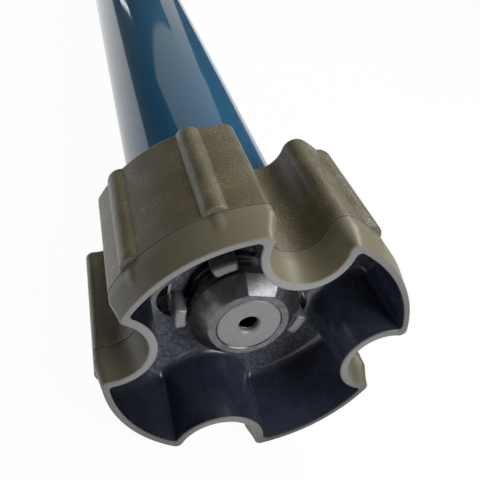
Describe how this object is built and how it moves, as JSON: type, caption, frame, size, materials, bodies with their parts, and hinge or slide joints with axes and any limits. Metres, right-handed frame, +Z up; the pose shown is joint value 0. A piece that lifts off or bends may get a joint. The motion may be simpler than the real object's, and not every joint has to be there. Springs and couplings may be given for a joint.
{
  "type": "tubular roller blind motor",
  "caption": "Tubular roller blind motor: blue tube with a notched drive adapter on its output shaft, a crown and a mounting head at the far end, and its gears, brake and motor inside.",
  "frame": {"origin": "centre of the output shaft's end face, where the screw hole opens", "axes": "+Y along the motor from the drive end to the head, +Z up through the first notch, +X through the second notch"},
  "size_m": [0.075, 0.5332, 0.075],
  "materials": {
    "adapter_plastic": "fine grained olive-grey moulded nylon",
    "shaft_steel": "dull, dusty cast steel",
    "disc_steel": "satin",
    "blue_paint": "glossy blue paint on steel tube",
    "die_cast": "sand-blasted zinc die casting",
    "black_casting": "black powder coat on die casting",
    "bronze": "sintered bronze",
    "black_rubber": "matt",
    "gear_steel": "sintered steel, oiled",
    "planet_plastic": "natural acetal",
    "hardened_steel": "ground",
    "spring_steel": "phosphated",
    "friction": "pressed friction material",
    "laminations": "stacked sheet",
    "copper": "varnished copper wire",
    "bell_aluminium": "die cast and turned",
    "capacitor_white": "smooth can",
    "black_plastic": "moulded",
    "board_green": "solder resist",
    "coil_yellow": "taped coil",
    "relay_blue": "moulded",
    "terminal_green": "moulded",
    "radio_board": "solder resist",
    "button_red": "moulded",
    "light_clear": "polished light pipe"
  },
  "bodies": {
    "motor": {"motor_tube": "blue_paint", "output_end_cap": "die_cast", "cap_rivets": "hardened_steel", "front_bush": "bronze", "rear_bush": "bronze", "shaft_seal": "black_rubber", "gearbox_housing": "gear_steel", "gearbox_cover": "die_cast", "brake_housing": "die_cast", "brake_lining": "friction", "brake_spring": "spring_steel", "brake_guide_pins": "hardened_steel", "front_end_bell": "bell_aluminium", "rear_end_bell": "bell_aluminium", "bearing_outer_rings": "hardened_steel", "bearing_balls": "hardened_steel", "stator_core": "laminations", "stator_winding": "copper", "run_capacitor": "capacitor_white", "capacitor_holders": "black_plastic", "electronics_tray": "black_plastic", "electronics_cover": "black_plastic", "circuit_board": "board_green", "power_transformer": "coil_yellow", "relays": "relay_blue", "terminal_block": "terminal_green", "radio_module": "radio_board", "head_casting": "black_casting", "head_rivets": "hardened_steel", "head_cover": "black_plastic", "cover_screws": "hardened_steel", "cable_grommet": "black_rubber", "button_switch": "black_plastic", "status_light": "light_clear", "crown_retaining_ring": "spring_steel"},
    "drive": {"drive_adapter": "adapter_plastic", "output_shaft": "shaft_steel", "shaft_end_disc": "disc_steel", "shaft_retaining_ring": "spring_steel", "output_carrier": "gear_steel", "output_planet_pins": "hardened_steel"},
    "first_stage": {"first_carrier": "gear_steel", "output_sun": "gear_steel", "first_planet_pins": "hardened_steel"},
    "rotor": {"rotor_shaft": "hardened_steel", "rotor_core": "laminations", "rotor_end_rings": "bell_aluminium", "brake_disc": "hardened_steel", "bearing_inner_rings": "hardened_steel"},
    "output_planet_a": {"output_planet_1": "planet_plastic"},
    "output_planet_b": {"output_planet_2": "planet_plastic"},
    "output_planet_c": {"output_planet_3": "planet_plastic"},
    "first_planet_a": {"first_planet_1": "planet_plastic"},
    "first_planet_b": {"first_planet_2": "planet_plastic"},
    "first_planet_c": {"first_planet_3": "planet_plastic"},
    "armature": {"brake_armature": "gear_steel"},
    "crown": {"limit_crown": "black_plastic", "crown_adapter": "adapter_plastic"},
    "encoder": {"encoder_pinion": "planet_plastic"},
    "button": {"setting_button": "button_red"}
  },
  "joints": [
    {"name": "drive_spin", "type": "hinge", "parent": "motor", "child": "drive", "pos_m": [0, 0, 0], "axis": [0, 1, 0], "continuous": true},
    {"name": "first_stage_spin", "type": "hinge", "parent": "motor", "child": "first_stage", "pos_m": [0, 0.07, 0], "axis": [0, 1, 0], "continuous": true},
    {"name": "rotor_spin", "type": "hinge", "parent": "motor", "child": "rotor", "pos_m": [0, 0.17, 0], "axis": [0, 1, 0], "continuous": true},
    {"name": "output_planet_a_spin", "type": "hinge", "parent": "drive", "child": "output_planet_a", "pos_m": [0, 0.064, 0.01148], "axis": [0, 1, 0], "continuous": true},
    {"name": "output_planet_b_spin", "type": "hinge", "parent": "drive", "child": "output_planet_b", "pos_m": [0.00994, 0.064, -0.00574], "axis": [0, 1, 0], "continuous": true},
    {"name": "output_planet_c_spin", "type": "hinge", "parent": "drive", "child": "output_planet_c", "pos_m": [-0.00994, 0.064, -0.00574], "axis": [0, 1, 0], "continuous": true},
    {"name": "first_planet_a_spin", "type": "hinge", "parent": "first_stage", "child": "first_planet_a", "pos_m": [0, 0.079, 0.01148], "axis": [0, 1, 0], "continuous": true},
    {"name": "first_planet_b_spin", "type": "hinge", "parent": "first_stage", "child": "first_planet_b", "pos_m": [0.00994, 0.079, -0.00574], "axis": [0, 1, 0], "continuous": true},
    {"name": "first_planet_c_spin", "type": "hinge", "parent": "first_stage", "child": "first_planet_c", "pos_m": [-0.00994, 0.079, -0.00574], "axis": [0, 1, 0], "continuous": true},
    {"name": "brake_release", "type": "slide", "parent": "motor", "child": "armature", "axis": [0, 1, 0], "range_m": [0, 0.0005], "stiffness_N_per_m": 3000, "springref_m": -0.004},
    {"name": "crown_spin", "type": "hinge", "parent": "motor", "child": "crown", "pos_m": [0, 0.489, 0], "axis": [0, 1, 0], "continuous": true},
    {"name": "encoder_spin", "type": "hinge", "parent": "motor", "child": "encoder", "pos_m": [0, 0.489, -0.0182], "axis": [0, 1, 0], "continuous": true},
    {"name": "button_press", "type": "slide", "parent": "motor", "child": "button", "axis": [0, 0, -1], "range_m": [0, 0.0012], "stiffness_N_per_m": 500, "springref_m": -0.0005}
  ],
  "couplings": [
    {"joint": "first_stage_spin", "follows": "drive_spin", "ratio": 4.5},
    {"joint": "rotor_spin", "follows": "drive_spin", "ratio": 20.25},
    {"joint": "output_planet_a_spin", "follows": "drive_spin", "ratio": -2.8},
    {"joint": "output_planet_b_spin", "follows": "drive_spin", "ratio": -2.8},
    {"joint": "output_planet_c_spin", "follows": "drive_spin", "ratio": -2.8},
    {"joint": "first_planet_a_spin", "follows": "drive_spin", "ratio": -12.6},
    {"joint": "first_planet_b_spin", "follows": "drive_spin", "ratio": -12.6},
    {"joint": "first_planet_c_spin", "follows": "drive_spin", "ratio": -12.6},
    {"joint": "encoder_spin", "follows": "crown_spin", "ratio": 4.7143}
  ]
}
